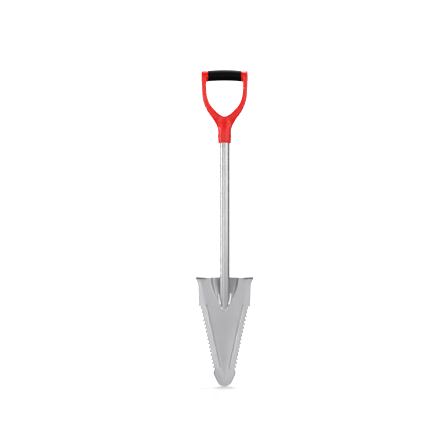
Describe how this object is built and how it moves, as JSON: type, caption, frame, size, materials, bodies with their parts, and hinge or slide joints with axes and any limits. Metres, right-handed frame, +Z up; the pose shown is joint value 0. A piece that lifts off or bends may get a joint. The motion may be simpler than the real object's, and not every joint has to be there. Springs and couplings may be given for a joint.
{
  "type": "detecting shovel",
  "caption": "Digging shovel for metal detecting: saw-edged pressed steel blade with foot treads, welded to a tubular shaft with a riveted red D-grip and a black rubber sleeve.",
  "frame": {"origin": "bottom centre of the whole shovel's box, at the height of the blade's tip", "axes": "+Z up the shaft from the tip to the grip, -Y the front that the trough and treads face, +X to the right seen from the front"},
  "size_m": [0.1456, 0.0458, 0.8],
  "materials": {
    "silver_paint": "satin silver paint on steel",
    "grip_red": "satin-gloss moulded red plastic",
    "sleeve_black": "matte moulded black rubber",
    "rivet_steel": "dull steel"
  },
  "bodies": {
    "root": {"blade": "silver_paint", "shaft_tube": "silver_paint", "weld_left": "silver_paint", "weld_right": "silver_paint", "weld_nose": "silver_paint", "grip_frame": "grip_red", "grip_sleeve": "sleeve_black", "grip_rivet": "rivet_steel"}
  },
  "joints": []
}
